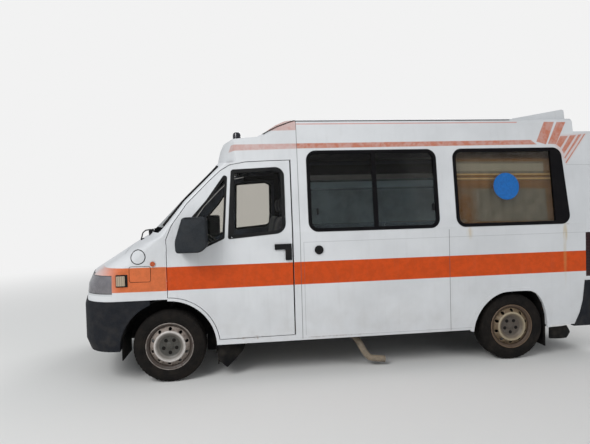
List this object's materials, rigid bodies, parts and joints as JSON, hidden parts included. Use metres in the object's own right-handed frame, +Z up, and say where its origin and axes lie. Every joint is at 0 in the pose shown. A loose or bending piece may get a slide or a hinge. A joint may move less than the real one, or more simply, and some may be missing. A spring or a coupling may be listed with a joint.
{
  "type": "ambulance",
  "caption": "Panel-van ambulance with a raised roof, opening cab doors, rear doors and bonnet, steered front wheels and free-rolling wheels.",
  "frame": {"origin": "middle of the bounding box in plan, on the ground", "axes": "+X to the rear, -Y the left side that the picture shows, +Z up"},
  "size_m": [5.005, 2.424, 2.417],
  "materials": {
    "white_paint": "gloss, aged white with dust",
    "grey_paint": "satin",
    "slate_plastic": "faded matte",
    "black_plastic": "matte",
    "grey_plastic": "matte",
    "black_rubber": "matte",
    "tyre_rubber": "dusty",
    "wheel_paint": "dull silver with rust",
    "window_glass": "clear",
    "lamp_glass": "ribbed",
    "orange_lamp": "gloss",
    "red_lamp": "gloss",
    "blue_dome": "gloss",
    "seat_fabric": "woven",
    "blind_fabric": "woven",
    "bright_alloy": "brushed",
    "cast_alloy": "dull",
    "black_steel": "satin",
    "dull_steel": "dull"
  },
  "bodies": {
    "body": {"cab_shell": "white_paint", "front_wings": "white_paint", "headlamps": "lamp_glass", "grille": "black_plastic", "front_bumper": "slate_plastic", "wing_flashers": "orange_lamp", "window_seals": "black_rubber", "side_glass": "window_glass", "windscreen": "window_glass", "wipers": "black_plastic", "load_shell": "white_paint", "tail_lamps": "red_lamp", "side_door": "white_paint", "high_roof": "white_paint", "cab_roof_cap": "white_paint", "rear_bumper": "slate_plastic", "floor": "grey_paint", "bulkhead": "white_paint", "dashboard": "grey_plastic", "seats": "seat_fabric", "stretcher": "bright_alloy", "bench": "grey_plastic", "lockers": "grey_plastic", "blinds": "blind_fabric", "engine": "cast_alloy", "radiator": "bright_alloy", "front_subframe": "black_steel", "rear_axle": "black_steel", "leaf_springs": "black_steel", "exhaust": "dull_steel", "fuel_tank": "black_plastic", "spare_wheel": "tyre_rubber", "mud_flaps": "black_rubber", "beacons": "blue_dome"},
    "left_front_knuckle": {"left_knuckle": "dull_steel"},
    "right_front_knuckle": {"right_knuckle": "dull_steel"},
    "front_left_wheel": {"front_left_rim": "wheel_paint", "front_left_tyre": "tyre_rubber"},
    "front_right_wheel": {"front_right_rim": "wheel_paint", "front_right_tyre": "tyre_rubber"},
    "rear_left_wheel": {"rear_left_rim": "wheel_paint", "rear_left_tyre": "tyre_rubber"},
    "rear_right_wheel": {"rear_right_rim": "wheel_paint", "rear_right_tyre": "tyre_rubber"},
    "left_front_door": {"left_door": "white_paint", "left_door_glass": "window_glass", "left_door_trim": "black_rubber", "left_mirror": "black_plastic"},
    "right_front_door": {"right_door": "white_paint", "right_door_glass": "window_glass", "right_door_trim": "black_rubber", "right_mirror": "black_plastic"},
    "rear_left_leaf": {"rear_left_door": "white_paint", "rear_left_door_glass": "window_glass"},
    "rear_right_leaf": {"rear_right_door": "white_paint", "rear_right_door_glass": "window_glass"},
    "bonnet_lid": {"bonnet": "white_paint"}
  },
  "joints": [
    {"name": "steer_left", "type": "hinge", "parent": "body", "child": "left_front_knuckle", "pos_m": [-1.6175, -0.742, 0.318], "axis": [0, 0, 1], "range_deg": [-35, 35]},
    {"name": "steer_right", "type": "hinge", "parent": "body", "child": "right_front_knuckle", "pos_m": [-1.6175, 0.742, 0.318], "axis": [0, 0, 1], "range_deg": [-35, 35]},
    {"name": "spin_front_left", "type": "hinge", "parent": "left_front_knuckle", "child": "front_left_wheel", "pos_m": [-1.6175, -0.868, 0.318], "axis": [0, 1, 0], "continuous": true},
    {"name": "spin_front_right", "type": "hinge", "parent": "right_front_knuckle", "child": "front_right_wheel", "pos_m": [-1.6175, 0.868, 0.318], "axis": [0, 1, 0], "continuous": true},
    {"name": "spin_rear_left", "type": "hinge", "parent": "body", "child": "rear_left_wheel", "pos_m": [1.5825, -0.868, 0.318], "axis": [0, 1, 0], "continuous": true},
    {"name": "spin_rear_right", "type": "hinge", "parent": "body", "child": "rear_right_wheel", "pos_m": [1.5825, 0.868, 0.318], "axis": [0, 1, 0], "continuous": true},
    {"name": "left_front_door_hinge", "type": "hinge", "parent": "body", "child": "left_front_door", "pos_m": [-1.6145, -1, 1], "axis": [0, 0, -1], "range_deg": [0, 70]},
    {"name": "right_front_door_hinge", "type": "hinge", "parent": "body", "child": "right_front_door", "pos_m": [-1.6145, 1, 1], "axis": [0, 0, 1], "range_deg": [0, 70]},
    {"name": "rear_left_door_hinge", "type": "hinge", "parent": "body", "child": "rear_left_leaf", "pos_m": [2.4955, -0.79, 1.2], "axis": [0, 0, -1], "range_deg": [0, 180]},
    {"name": "rear_right_door_hinge", "type": "hinge", "parent": "body", "child": "rear_right_leaf", "pos_m": [2.4955, 0.79, 1.2], "axis": [0, 0, 1], "range_deg": [0, 180]},
    {"name": "bonnet_hinge", "type": "hinge", "parent": "body", "child": "bonnet_lid", "pos_m": [-2.0045, 0, 1.236], "axis": [0, 1, 0], "range_deg": [0, 55]}
  ],
  "couplings": [
    {"joint": "steer_right", "follows": "steer_left", "ratio": 1}
  ]
}
